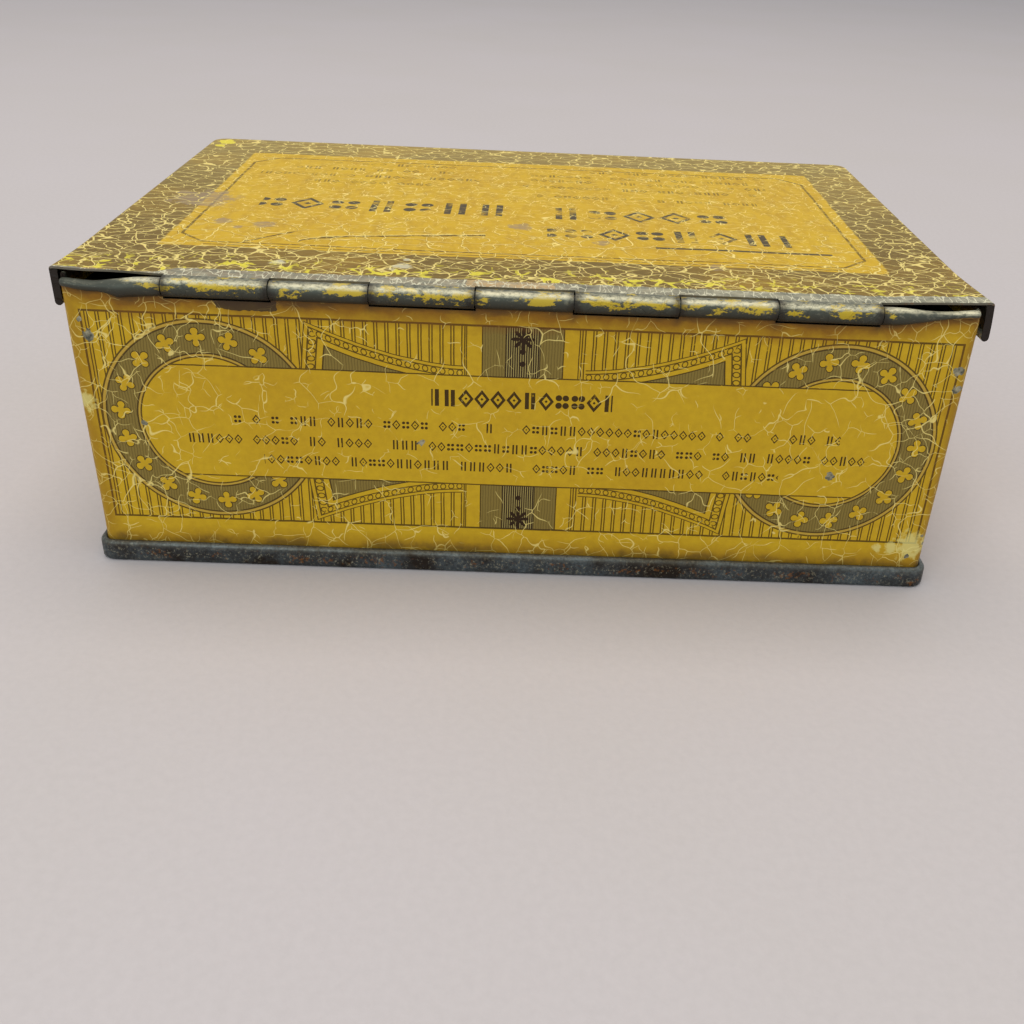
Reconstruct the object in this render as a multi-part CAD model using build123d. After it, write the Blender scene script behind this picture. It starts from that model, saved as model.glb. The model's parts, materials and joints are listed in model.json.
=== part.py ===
from build123d import *
import math
import os

# Hinged tinplate box: a one-piece lid whose rear edge is rolled into knuckles that
# share one hinge wire with the rolled top edge of the back wall.
# Millimetres, +Z up. The origin is the bottom centre of the bounding box. The long
# side runs along X, the hinge is at -Y and the opening edge is at +Y.

# ---- driving dimensions ---------------------------------------------------------------

LENGTH = 127.0            # overall, over the lid skirts, along X
DEPTH = 88.9              # overall, from the lid knuckles to the front skirt, along Y
HEIGHT = 44.45            # overall, from the standing rim to the top of the lid
SHEET = 0.30              # tinplate of the walls, the lid and the bottom
LAYER_GAP = 0.05          # play between folded layers of sheet

# Body walls
LID_OVERHANG = 1.25       # from the outside of a wall to the outside of the lid skirt
BODY_CORNER_R = 1.4       # outside plan radius of the wall corners
LID_PLAY = 0.15           # from the top of the walls to the underside of the lid
HEM_DROP = 3.0            # height of the turned-in top edge
SIDE_LAP = 5.0            # width of the soldered lap that closes the wall strip
SIDE_LAP_Y = -20.0        # centre of that lap on the inside of the +X wall

# Bottom seam
SEAM_HEIGHT = 3.3         # height of the rolled seam round the foot of the box
SEAM_LOCK = 0.9           # how far the two hooks stay short of the folds they sit in
SEAM_EDGE_R = 0.22        # rounding of the seam's outer edges
PANEL_RISE = 0.7          # how far the bottom panel is pressed up inside the walls

# Lid
LID_EDGE_R = 0.5          # rounding between the lid plate and its skirts
SKIRT_DROP = 5.2          # from the top of the lid to the lowest point of the skirts
BEAD_PLAY = 0.20          # from the rolled bead of the skirts to the walls
BEAD_CURL = 300.0         # degrees of roll in that bead

# Hinge
WIRE_D = 2.0              # hinge wire
WIRE_END_SHORT = 9.1      # how far the wire stops short of the outer ends of the end rolls
BODY_KNUCKLE_PLAY = 0.02  # radial play of the wire in the body knuckles, which grip it
LID_KNUCKLE_PLAY = 0.08   # radial play of the wire in the lid knuckles, which turn on it
AXIS_INSET = 0.10         # from the outside of the back wall in to the hinge axis
LID_KNUCKLES = 4
LID_KNUCKLE_LEN = 14.0
BODY_KNUCKLE_LEN = 13.1
KNUCKLE_GAP = 0.2         # side play between neighbouring knuckles
BODY_CURL_END = -60.0     # angle at which the body roll ends, seen from +X
LID_CURL = 285.0          # degrees of roll in a lid knuckle
JOGGLE_R = 0.6            # bend from the back wall out to the roll
SLOT_PLAY = 0.15          # from the lid's rear edge to the body rolls
NOTCH_PLAY = 0.37         # from the lid knuckles to the notches in the back wall

# ---- derived places -------------------------------------------------------------------

body_knuckle_in = WIRE_D / 2 + BODY_KNUCKLE_PLAY
body_knuckle_out = body_knuckle_in + SHEET
lid_knuckle_in = WIRE_D / 2 + LID_KNUCKLE_PLAY
lid_knuckle_out = lid_knuckle_in + SHEET

axis_y = -DEPTH / 2 + lid_knuckle_out
axis_z = HEIGHT - lid_knuckle_out

wall_x = LENGTH / 2 - LID_OVERHANG                # outside of the end walls
wall_back = axis_y - AXIS_INSET                   # outside of the back wall
wall_front = DEPTH / 2 - LID_OVERHANG             # outside of the front wall
wall_length = 2 * wall_x
wall_depth = wall_front - wall_back
wall_mid_y = (wall_front + wall_back) / 2
wall_top = HEIGHT - SHEET - LID_PLAY
wall_foot = SHEET + LAYER_GAP                     # the walls stand on the bottom pan

layer = SHEET + LAYER_GAP
seam_out = 3 * layer                              # how far the seam stands off the walls
hook_top = SEAM_HEIGHT - SHEET - LAYER_GAP        # top of the hook of the body
hook_low = wall_foot + SHEET + SEAM_LOCK          # lowest edge of the hook of the pan

lid_plate_low = HEIGHT - SHEET
slot_height = lid_plate_low - axis_z              # underside of the plate above the axis
slot_in = math.sqrt((body_knuckle_out + SLOT_PLAY) ** 2 - slot_height ** 2)
lid_rear = axis_y + slot_in                       # straight rear edge of the lid plate
notch_low = axis_z - lid_knuckle_out - NOTCH_PLAY

knuckle_pitch = LID_KNUCKLE_LEN + BODY_KNUCKLE_LEN + 2 * KNUCKLE_GAP
roll_end = wall_x - BODY_CORNER_R                 # where the end rolls meet the corners
lid_knuckle_x = [(i - (LID_KNUCKLES - 1) / 2) * knuckle_pitch for i in range(LID_KNUCKLES)]
body_knuckle_x = [(a + b) / 2 for a, b in zip(lid_knuckle_x, lid_knuckle_x[1:])]
end_roll_in = lid_knuckle_x[-1] + LID_KNUCKLE_LEN / 2 + KNUCKLE_GAP
wire_length = 2 * (roll_end - WIRE_END_SHORT)


# ---- helpers --------------------------------------------------------------------------

def slab(out, z_low, z_high):
    """A plate that follows the walls in plan, `out` beyond their outside."""
    plan = RectangleRounded(wall_length + 2 * out, wall_depth + 2 * out, BODY_CORNER_R + out)
    return Pos(0, wall_mid_y, z_low) * extrude(plan, amount=z_high - z_low)


def ring(out, thickness, z_low, z_high):
    """A band round the walls whose outside lies `out` beyond theirs."""
    return slab(out, z_low, z_high) - slab(out - thickness, z_low, z_high)


def block(x_low, x_high, y_low, y_high, z_low, z_high):
    """A plain box between two corners."""
    size = (x_high - x_low, y_high - y_low, z_high - z_low)
    centre = ((x_low + x_high) / 2, (y_low + y_high) / 2, (z_low + z_high) / 2)
    return Pos(*centre) * Box(*size)


def around_axis(angle, radius):
    """A point of the YZ section, by its angle and distance from the hinge axis."""
    turn = math.radians(angle)
    return (axis_y + radius * math.cos(turn), axis_z + radius * math.sin(turn))


def rolled_sector(start, end, radius):
    """The section of a sheet rolled round the hinge axis, outside at `radius`."""
    middle = (start + end) / 2
    inner = radius - SHEET
    with BuildSketch(Plane.YZ) as section:
        with BuildLine():
            ThreePointArc(
                around_axis(start, radius), around_axis(middle, radius), around_axis(end, radius)
            )
            Line(around_axis(end, radius), around_axis(end, inner))
            ThreePointArc(
                around_axis(end, inner), around_axis(middle, inner), around_axis(start, inner)
            )
            Line(around_axis(start, inner), around_axis(start, radius))
        make_face()
    return section.sketch


def extrude_x(section, x_middle, length):
    """A YZ section pulled along X, centred on x_middle."""
    return Pos(x_middle - length / 2, 0, 0) * extrude(section, amount=length, dir=(1, 0, 0))


# ---- body shell -----------------------------------------------------------------------

def joggle():
    """Where the back wall bends out to meet its roll.

    Gives the height at which the bend starts and the angle at which it meets the roll.
    """
    mean_r = body_knuckle_out - SHEET / 2
    bend_y = AXIS_INSET - SHEET / 2 + JOGGLE_R    # bend centre, outboard of the axis
    drop = math.sqrt((mean_r + JOGGLE_R) ** 2 - bend_y ** 2)
    meet = 180 + math.degrees(math.atan2(drop, bend_y))
    return axis_z - drop, meet


def joggle_section():
    """The section of the bend between the straight wall and the roll."""
    start_z, meet = joggle()
    centre_y = wall_back + SHEET / 2 - JOGGLE_R
    inner = JOGGLE_R - SHEET / 2
    outer = JOGGLE_R + SHEET / 2
    sweep = meet - 180

    def on_bend(angle, radius):
        turn = math.radians(angle)
        return (centre_y + radius * math.cos(turn), start_z + radius * math.sin(turn))

    with BuildSketch(Plane.YZ) as section:
        with BuildLine():
            ThreePointArc(on_bend(0, inner), on_bend(sweep / 2, inner), on_bend(sweep, inner))
            Line(on_bend(sweep, inner), on_bend(sweep, outer))
            ThreePointArc(on_bend(sweep, outer), on_bend(sweep / 2, outer), on_bend(0, outer))
            Line(on_bend(0, outer), on_bend(0, inner))
        make_face()
    return section.sketch


def body_roll(x_middle, length):
    """One knuckle or end roll of the back wall."""
    meet = joggle()[1]
    bend = extrude_x(joggle_section(), x_middle, length)
    roll = extrude_x(rolled_sector(BODY_CURL_END, meet, body_knuckle_out), x_middle, length)
    return bend + roll


def body_walls():
    """The wall strip, cut for the rolls and the notches.

    The two rear corners stop level with the hinge axis.
    """
    bend_start = joggle()[0]
    walls = ring(0, SHEET, wall_foot, wall_top)
    walls -= block(-roll_end, roll_end, wall_back, wall_back + BODY_CORNER_R, bend_start, HEIGHT)
    notch_length = LID_KNUCKLE_LEN + 2 * KNUCKLE_GAP
    for x in lid_knuckle_x:
        half = notch_length / 2
        walls -= block(x - half, x + half, wall_back, wall_back + SHEET, notch_low, HEIGHT)
    back_edge = wall_back + BODY_CORNER_R
    for side in (-1, 1):
        x_out = side * wall_x
        x_in = side * roll_end
        walls -= block(min(x_out, x_in), max(x_out, x_in), wall_back, back_edge, axis_z, HEIGHT)
    return walls


def top_hem():
    """The top edge turned in and down on the ends and the front."""
    cap_low = wall_top - SHEET
    hem = ring(-layer, SHEET, wall_top - HEM_DROP, wall_top)
    hem += ring(-SHEET, LAYER_GAP, cap_low, wall_top)
    open_side = wall_back + BODY_CORNER_R + SHEET
    return hem - block(-wall_x, wall_x, wall_back, open_side, wall_foot, HEIGHT)


def side_lap():
    """The lapped end of the wall strip, soldered down inside the +X wall."""
    y_low = SIDE_LAP_Y - SIDE_LAP / 2
    inside = wall_x - SHEET
    lap_low = SEAM_HEIGHT + PANEL_RISE
    lap_high = wall_top - HEM_DROP - LAYER_GAP
    return block(inside - SHEET, inside, y_low, y_low + SIDE_LAP, lap_low, lap_high)


def body_hook():
    """The foot of the walls turned out and up, which the pan is folded over."""
    out = 2 * layer
    foot = ring(out, out + SHEET, wall_foot, wall_foot + SHEET)
    return foot + ring(out, SHEET, wall_foot, hook_top)


def make_body_shell():
    shell = body_walls() + top_hem() + side_lap() + body_hook()
    for x in body_knuckle_x:
        shell += body_roll(x, BODY_KNUCKLE_LEN)
    end_length = roll_end - end_roll_in
    for side in (-1, 1):
        shell += body_roll(side * (end_roll_in + end_length / 2), end_length)
    return shell


# ---- bottom pan -----------------------------------------------------------------------

def make_bottom_pan():
    """The bottom panel, its standing rim and the seam folded over the body hook."""
    inside = -SHEET - LAYER_GAP                   # the step fits just inside the walls
    skirt = slab(seam_out, 0, SEAM_HEIGHT)
    edges = skirt.faces().sort_by(Axis.Z)[-1].edges() + skirt.faces().sort_by(Axis.Z)[0].edges()
    skirt = fillet(edges, SEAM_EDGE_R)
    pan = skirt - slab(seam_out - SHEET, SHEET, SEAM_HEIGHT - SHEET)
    pan -= slab(layer - SHEET, SHEET, SEAM_HEIGHT)
    pan += ring(layer, SHEET, hook_low, SEAM_HEIGHT - SHEET)
    pan -= slab(inside - SHEET, 0, SHEET)
    pan += ring(inside, SHEET, 0, PANEL_RISE + SHEET)
    pan += slab(inside, PANEL_RISE, PANEL_RISE + SHEET)
    return pan


# ---- lid ------------------------------------------------------------------------------

def lid_skirts():
    """The plate, rounded edge and straight part of the skirts, open at the rear."""
    bead_r = (LID_OVERHANG - BEAD_PLAY) / 2
    skirt_low = HEIGHT - SKIRT_DROP + bead_r      # the bead takes over from here
    cap = slab(LID_OVERHANG, skirt_low, HEIGHT)
    top_edges = cap.faces().sort_by(Axis.Z)[-1].edges()
    cap = fillet(top_edges, LID_EDGE_R)
    hollow = slab(LID_OVERHANG - SHEET, skirt_low, HEIGHT - SHEET)
    hollow_top = hollow.faces().sort_by(Axis.Z)[-1].edges()
    hollow = fillet(hollow_top, LID_EDGE_R - SHEET)
    return cap - hollow


def lid_bead():
    """The lower edge of the skirts rolled inwards."""
    bead_r = (LID_OVERHANG - BEAD_PLAY) / 2
    inner_r = bead_r - SHEET
    middle_x = wall_x + LID_OVERHANG - bead_r
    middle_z = HEIGHT - SKIRT_DROP + bead_r

    def on_bead(angle, radius):
        turn = math.radians(angle)
        return (middle_x + radius * math.cos(turn), middle_z + radius * math.sin(turn))

    with BuildSketch(Plane.XZ) as section:
        with BuildLine():
            ThreePointArc(
                on_bead(0, bead_r), on_bead(-BEAD_CURL / 2, bead_r), on_bead(-BEAD_CURL, bead_r)
            )
            Line(on_bead(-BEAD_CURL, bead_r), on_bead(-BEAD_CURL, inner_r))
            ThreePointArc(
                on_bead(-BEAD_CURL, inner_r), on_bead(-BEAD_CURL / 2, inner_r), on_bead(0, inner_r)
            )
            Line(on_bead(0, inner_r), on_bead(0, bead_r))
        make_face()
    corner_r = BODY_CORNER_R + LID_OVERHANG - bead_r
    front = wall_front + LID_OVERHANG - bead_r
    corner_x = middle_x - corner_r
    corner_y = front - corner_r
    side_length = corner_y - lid_rear
    side = Pos(0, corner_y, 0) * extrude(section.sketch, amount=side_length, dir=(0, -1, 0))
    turn_axis = Axis((corner_x, corner_y, 0), (0, 0, 1))
    corner = revolve(Pos(0, corner_y, 0) * section.sketch, turn_axis, 90)
    right = side + corner
    left = mirror(right, Plane.YZ)
    front_section = Rot(0, 0, 90) * (Pos(-middle_x, 0, 0) * section.sketch)
    run = Pos(corner_x, front, 0) * front_section
    bar = extrude(run, amount=2 * corner_x, dir=(-1, 0, 0))
    return right + left + bar


def lid_knuckle(x_middle):
    """One roll of the lid with the tongue that joins it to the plate."""
    roll = rolled_sector(90, 90 + LID_CURL, lid_knuckle_out)
    x_low = x_middle - LID_KNUCKLE_LEN / 2
    x_high = x_middle + LID_KNUCKLE_LEN / 2
    tongue = block(x_low, x_high, axis_y, lid_rear, lid_plate_low, HEIGHT)
    return extrude_x(roll, x_middle, LID_KNUCKLE_LEN) + tongue


def make_lid():
    cap = lid_skirts()
    behind = block(-LENGTH, LENGTH, -DEPTH, lid_rear, 0, 2 * HEIGHT)
    lid = cap - behind + lid_bead()
    for x in lid_knuckle_x:
        lid += lid_knuckle(x)
    return lid


# ---- hinge wire -----------------------------------------------------------------------

def make_hinge_wire():
    wire = Rot(0, 90, 0) * Cylinder(WIRE_D / 2, wire_length)
    return Pos(0, axis_y, axis_z) * wire


# ---- output ---------------------------------------------------------------------------

def main():
    os.makedirs("parts", exist_ok=True)
    pieces = {
        "body_shell": make_body_shell(),
        "bottom_pan": make_bottom_pan(),
        "lid": make_lid(),
        "hinge_wire": make_hinge_wire(),
    }
    for name, piece in pieces.items():
        export_step(piece, f"parts/{name}.step")


main()
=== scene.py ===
"""A hinged box of printed tinplate: walls, lid, seamed bottom and hinge wire, with a floor,
soft light and a camera. Run as a script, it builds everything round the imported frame."""

import json
import math
from functools import partialmethod, reduce

import bmesh
import bpy
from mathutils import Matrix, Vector


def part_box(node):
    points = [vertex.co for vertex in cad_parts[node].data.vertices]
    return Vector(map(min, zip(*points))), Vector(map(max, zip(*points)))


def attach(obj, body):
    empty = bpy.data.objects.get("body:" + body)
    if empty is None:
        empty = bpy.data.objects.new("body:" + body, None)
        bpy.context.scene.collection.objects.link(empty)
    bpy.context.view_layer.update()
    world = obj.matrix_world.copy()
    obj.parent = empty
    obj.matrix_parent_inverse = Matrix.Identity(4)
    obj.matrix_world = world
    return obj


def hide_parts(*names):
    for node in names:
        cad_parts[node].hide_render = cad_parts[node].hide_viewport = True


bl_info = {
    "name": "Hinged Tin Box",
    "version": (1, 0, 0),
    "blender": (4, 5, 0),
    "location": "View3D > Sidebar > Tin Box",
    "description": "Builds a printed tinplate box with a wire-hinged lid",
    "category": "Add Mesh",
}

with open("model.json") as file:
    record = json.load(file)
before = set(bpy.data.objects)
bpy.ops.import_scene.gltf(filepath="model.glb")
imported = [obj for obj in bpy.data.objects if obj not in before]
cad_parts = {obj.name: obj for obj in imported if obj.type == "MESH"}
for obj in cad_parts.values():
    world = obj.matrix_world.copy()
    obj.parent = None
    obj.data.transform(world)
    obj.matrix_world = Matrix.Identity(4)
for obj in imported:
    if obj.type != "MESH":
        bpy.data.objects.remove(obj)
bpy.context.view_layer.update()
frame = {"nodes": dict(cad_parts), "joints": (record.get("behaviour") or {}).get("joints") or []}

MM = 0.001
ROOM = 0.01 * MM                  # how far off its place a picked vertex may be
GRID = 2.0 * MM                   # mesh spacing on the large faces
FINE = 1.0 * MM                   # mesh spacing along the rolls
BODY_TURN = 240                   # degrees that the rolls of the walls go round, past their bend
LID_TURN = 285                    # degrees that the lid's knuckles are rolled
BEAD_TURN = 300                   # degrees that the foot of the skirts is rolled

ALONG = (1, 0, 0)
ACROSS = (0, 1, 0)
UP = (0, 0, 1)

lid_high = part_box("lid")[1]
pan_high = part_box("bottom_pan")[1]
wire_low, wire_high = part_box("hinge_wire")
hinge = Vector(frame["joints"][0]["pos_m"])
wire_radius = (wire_high[2] - wire_low[2]) / 2


# ---- what a user may change -----------------------------------------------------------

def size(name, description, default_mm):
    return bpy.props.FloatProperty(
        name=name, description=description, default=default_mm * MM, unit="LENGTH", precision=5
    )


def colour(name, description, red, green, blue):
    """A colour property, written as the sRGB values from 0 to 255."""
    def linear(value):
        value /= 255
        return value / 12.92 if value <= 0.04045 else ((value + 0.055) / 1.055) ** 2.4

    return bpy.props.FloatVectorProperty(
        name=name, description=description, size=4, min=0, max=1, subtype="COLOR",
        default=(linear(red), linear(green), linear(blue), 1),
    )


class TinBoxSizes(bpy.types.PropertyGroup):
    """Sizes of the folded sheet metal"""

    sheet: size("Sheet", "Thickness of the tinplate", 0.30)
    layer_gap: size("Layer gap", "Play between folded layers of sheet", 0.05)
    overhang: size("Overhang", "From the walls to the outside of the lid's skirts", 1.25)
    corner: size("Corner", "Outside plan radius of the wall corners", 1.4)
    lid_play: size("Lid play", "From the top of the walls to the underside of the lid", 0.15)
    hem: size("Hem", "Height of the walls' turned-in top edge", 3.0)
    skirt_drop: size("Skirt drop", "From the top of the lid to the foot of its skirts", 5.2)
    skirt_round: size("Skirt rounding", "Rounding between the lid plate and its skirts", 0.4)
    bead_play: size("Bead play", "From the rolled bead of the skirts to the walls", 0.20)
    slot_play: size("Slot play", "From the lid's rear edge to the rolls of the body", 0.15)
    axis_inset: size("Axis inset", "From the back wall's outside in to the hinge axis", 0.10)
    grip_play: size("Grip play", "Play of the wire in the rolls of the body", 0.02)
    turn_play: size("Turning play", "Play of the wire in the rolls of the lid", 0.08)
    joggle: size("Joggle", "Bend of the back wall out to its rolls, on the outside", 0.45)
    lid_knuckle: size("Lid knuckle", "Length of one lid knuckle", 14.0)
    body_knuckle: size("Body knuckle", "Length of one body knuckle", 13.1)
    knuckle_gap: size("Knuckle gap", "Side play between knuckles", 0.2)
    panel_rise: size("Panel rise", "How far the bottom panel is pressed up", 0.7)
    hook: size("Hook", "Height of the seam's inner fold", 1.4)
    lap_width: size("Lap width", "Width of the soldered lap inside the right end", 5.0)
    lap_middle: size("Lap middle", "Where that lap stands along the right end", -20.0)
    left_lift: size("Left lift", "How far the lid's rear left corner is bent up", 0.42)
    right_lift: size("Right lift", "How far the lid's rear right corner is bent up", 0.70)
    left_ear: size("Left ear", "How far the left end roll runs out over the corner", 1.15)
    right_ear: size("Right ear", "How far the right end roll runs out over the corner", 0.95)
    flare: size("Flare", "How far the right skirt's rear end is bent out", 0.60)
    relief: size("Relief", "How far the lid's rear edge keeps off the left end roll", 0.45)


def sizes():
    return bpy.context.scene.tin_box_sizes


class Plan:
    """Places that follow from the frame and the sizes"""

    def __init__(self):
        s = sizes()
        self.lid_r = wire_radius + s.turn_play + s.sheet
        self.body_r = wire_radius + s.grip_play + s.sheet
        self.wall_x = lid_high[0] - s.overhang
        self.back = hinge.y - s.axis_inset
        self.front = lid_high[1] - s.overhang
        self.wall_foot = s.sheet + s.layer_gap
        self.wall_top = lid_high[2] - s.sheet - s.lid_play
        self.straight_x = self.wall_x - s.corner
        self.straight_back = self.back + s.corner
        self.straight_front = self.front - s.corner
        side = s.joggle + s.axis_inset
        drop = math.sqrt((self.body_r + s.joggle) ** 2 - side ** 2)
        self.bend_start = hinge.z - drop
        self.bend_angle = math.degrees(math.atan2(drop, side))
        plate_height = lid_high[2] - s.sheet - hinge.z
        self.lid_rear = hinge.y + math.sqrt((self.body_r + s.slot_play) ** 2 - plate_height ** 2)
        pitch = s.lid_knuckle + s.body_knuckle + 2 * s.knuckle_gap
        lid_x = [(i - 1.5) * pitch for i in range(4)]
        self.end_roll = lid_x[-1] + s.lid_knuckle / 2 + s.knuckle_gap
        self.lid_spans = spans(lid_x, s.lid_knuckle)
        self.body_spans = [(-self.straight_x, -self.end_roll)]
        self.body_spans += spans([(i - 1) * pitch for i in range(3)], s.body_knuckle)
        self.body_spans += [(self.end_roll, self.straight_x)]


def spans(middles, width):
    return [(x - width / 2, x + width / 2) for x in middles]


# ---- modelling helpers ----------------------------------------------------------------

def stations(marks, step):
    """The marks in order, with evenly spaced places between them at most a step apart."""
    places = [marks[0]]
    for low, high in zip(marks, marks[1:]):
        count = max(1, math.ceil(abs(high - low) / step - 0.001))
        places += [low + (high - low) * (i + 1) / count for i in range(count)]
    return places


def ramp(value, low, high):
    """0 below low, 1 above high and a straight climb between."""
    return min(1.0, max(0.0, (value - low) / (high - low)))


def select_verts(action):
    bpy.ops.mesh.select_mode(type="VERT")
    bpy.ops.mesh.select_all(action=action)


def start_point(place):
    """Adds one selected vertex to the open mesh, from which a section is drawn."""
    select_verts("DESELECT")
    bpy.ops.mesh.primitive_plane_add(size=MM)
    bpy.ops.mesh.merge(type="CENTER")
    bpy.ops.transform.translate(value=place)


def start_piece(name, place):
    """A new object of one vertex, open in edit mode."""
    bpy.ops.object.select_all(action="DESELECT")
    bpy.ops.mesh.primitive_plane_add(size=MM)
    piece = bpy.context.object
    piece.name = name
    piece.data.name = name
    bpy.ops.object.mode_set(mode="EDIT")
    bpy.ops.mesh.delete(type="VERT")
    start_point(place)
    return piece


def draw(move):
    """Extrudes the selection by a move."""
    bpy.ops.mesh.extrude_region_move(TRANSFORM_OT_translate={"value": move})


def draw_through(axis, places):
    """Extrudes the selection along an axis through the given places."""
    for low, high in zip(places, places[1:]):
        draw([part * (high - low) for part in axis])


def draw_round(axis, centre, degrees, steps):
    """Extrudes the selection round an axis, right-handed."""
    bpy.ops.mesh.spin(steps=steps, angle=-math.radians(degrees), center=centre, axis=axis)


def pick(piece, x=None, y=None, z=None, edge_only=False):
    """Selects the vertices within limits, each of them a place or a (low, high) pair."""
    select_verts("DESELECT")
    mesh = bmesh.from_edit_mesh(piece.data)
    limits = []
    for index, limit in enumerate((x, y, z)):
        if limit is not None:
            low, high = limit if isinstance(limit, tuple) else (limit, limit)
            limits.append((index, low - ROOM, high + ROOM))
    for vert in mesh.verts:
        inside = all(low < vert.co[index] < high for index, low, high in limits)
        vert.select_set(inside and not (edge_only and vert.link_faces))
    mesh.select_flush_mode()
    bmesh.update_edit_mesh(piece.data)


def pull(move, falloff, reach):
    """Moves the selection, and what is within reach of it by less and less."""
    bpy.ops.transform.translate(value=move, use_proportional_edit=True,
                                proportional_edit_falloff=falloff, proportional_size=reach)


def merge_all():
    select_verts("SELECT")
    bpy.ops.mesh.remove_doubles(threshold=ROOM)


def close_mesh(piece, place, normal):
    """Merges the mesh and turns its faces so that the one nearest to a place faces along a normal."""
    merge_all()
    bpy.ops.mesh.normals_make_consistent(inside=False)
    mesh = bmesh.from_edit_mesh(piece.data)
    mesh.normal_update()
    nearest = min(mesh.faces, key=lambda face: (face.calc_center_median() - Vector(place)).length)
    if nearest.normal.dot(Vector(normal)) < 0:
        bpy.ops.mesh.select_all(action="SELECT")
        bpy.ops.mesh.flip_normals()
    bpy.ops.object.mode_set(mode="OBJECT")


def dent(piece, name, depth, grain, weight):
    """Slight waves of worn sheet, by a weight from 0 to 1 at each vertex."""
    group = piece.vertex_groups.new(name=name)
    for vert in piece.data.vertices:
        group.add([vert.index], weight(vert.co), "REPLACE")
    texture = bpy.data.textures.new(name, "CLOUDS")
    texture.noise_scale = grain
    texture.noise_depth = 1
    waves = piece.modifiers.new(name, "DISPLACE")
    waves.texture = texture
    waves.texture_coords = "LOCAL"
    waves.strength = depth
    waves.vertex_group = group.name
    bpy.ops.object.modifier_apply(modifier=waves.name)


def paint(piece, outside, inside):
    """Materials for the two sides of the sheet."""
    piece.data.materials.clear()
    piece.data.materials.append(outside)
    piece.data.materials.append(inside)


def shade():
    """Smooth shading on all but the sharp edges."""
    bpy.ops.object.shade_smooth_by_angle(angle=math.radians(35))


def thicken(piece, even=True):
    """Gives a painted open surface its sheet thickness on the inside, and shades it."""
    solid = piece.modifiers.new("Sheet", "SOLIDIFY")
    solid.thickness = sizes().sheet
    solid.offset = -1.0
    solid.use_even_offset = even
    solid.material_offset = 1
    solid.material_offset_rim = 1
    bpy.ops.object.modifier_apply(modifier=solid.name)
    shade()


def fit(piece, body, node):
    """The place of the piece in the frame."""
    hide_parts(node)
    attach(piece, body)


# ---- colours and the view -------------------------------------------------------------

class TinBoxInks(bpy.types.PropertyGroup):
    """Colours of the print, the bare metal and the floor"""

    yellow: colour("Yellow", "Lacquered ground of the print", 207, 165, 29)
    amber: colour("Amber", "Where the lacquer has darkened", 190, 142, 24)
    ink: colour("Ink", "Lines and rows of the print", 48, 29, 8)
    print_black: colour("Black", "Bold rows on the lid", 46, 44, 44)
    olive: colour("Olive", "Tinted bands of the print", 126, 106, 52)
    border: colour("Border", "Brown border of the lid", 126, 99, 38)
    # This colour also turns the far side of the lid's border paler, in part as a painted sheen.
    crack: colour("Crack", "Ground that shows in the crazed lacquer", 240, 213, 124)
    # This colour is also the painted highlight along the top of the hinge rolls.
    tick: colour("Tick", "Palest scratches and flecks in the metal", 224, 214, 178)
    lemon: colour("Lemon", "Ground where the lacquer has peeled", 232, 212, 60)
    # This colour is also the painted shadow beside the wide cracks of the lid.
    rust: colour("Rust", "Browned and rusted lacquer", 122, 72, 18)
    mauve: colour("Mauve", "Grey-brown blotches on the lid", 152, 128, 98)
    copper: colour("Copper", "Warm patch on the bare strip of the lid", 206, 168, 112)
    roll_paint: colour("Paint on the rolls", "Lacquer left on the rolls of the hinge", 190, 160, 48)
    # This colour also goes into the painted highlight on the hinge rolls and along the top of the
    # foot seam.
    bare: colour("Bare metal", "Rubbed bare tinplate", 176, 167, 138)
    slate: colour("Dull metal", "Darkened bare tinplate", 80, 81, 70)
    pewter: colour("Pewter", "Dark tinplate of the foot seam", 90, 98, 100)
    # This colour is also laid on as painted shade: under the hinge rolls, along their bottoms, on the
    # folded-in rear ends of the skirts and in the rear corners inside the lid.
    grime_and_shade: colour("Grime", "Dirt in corners and pits", 46, 38, 32)
    inside: colour("Inside", "Bare tinplate inside the box", 128, 120, 104)
    floor: colour("Floor", "Paper that the box stands on", 196, 185, 181)


class TinBoxView(bpy.types.PropertyGroup):
    """Where the camera stands, and the light of the room"""

    place: bpy.props.FloatVectorProperty(
        name="Camera place", description="Where the camera stands", size=3, unit="LENGTH",
        default=(0.00071, -0.18546, 0.09175),
    )
    turn: bpy.props.FloatVectorProperty(
        name="Camera turn", description="How the camera is turned, in degrees", size=3,
        default=(59.44, -2.43, -0.09),
    )
    lens: bpy.props.FloatProperty(
        name="Lens", description="Focal length on a 36 mm sensor, in millimetres", default=38.54
    )
    shift: bpy.props.FloatVectorProperty(
        name="Shift", description="Camera shift that the framing needs", size=2,
        default=(-0.0342, 0.0156),
    )
    room: colour("Room", "Colour of the light from all round", 230, 239, 250)
    room_strength: bpy.props.FloatProperty(
        name="Room light", description="Strength of the light from all round", default=0.66
    )


def inks():
    return bpy.context.scene.tin_box_inks


# ---- places in the print, in millimetres ----------------------------------------------

FRAME_MIDDLE = 23.4                   # height of the middle of a wall's frame
FRAME_HALF_HEIGHT = 15.95
LONG_FRAME_HALF = 60.28               # half length of the frame on a long wall
END_FRAME_HALF = 40.7                 # and on an end wall
PANEL_HALF_HEIGHT = 8.57              # of the plain panel inside a frame
BANDS = (7.75, 5.6, 2.35)             # half widths of the upright bands
RING_INSET = 16.0                     # from the end of a frame in to a ring's centre
RING_LINES = (15.3, 14.7, 10.35, 9.85)  # radii of the lines of a ring
FLOWER_CIRCLE = 12.7                  # radius on which the quatrefoils stand
FLOWERS = 18                          # in a ring
WING_START, WING_RUN = 8.5, 20.6      # where a wing begins to rise, and over how far
SIGN_WIDTH = 0.78                     # of one sign in a row, by the row's height
REAR = -36.0                          # the browning, dirt and painted shade of the hinge stay behind this line
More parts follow.
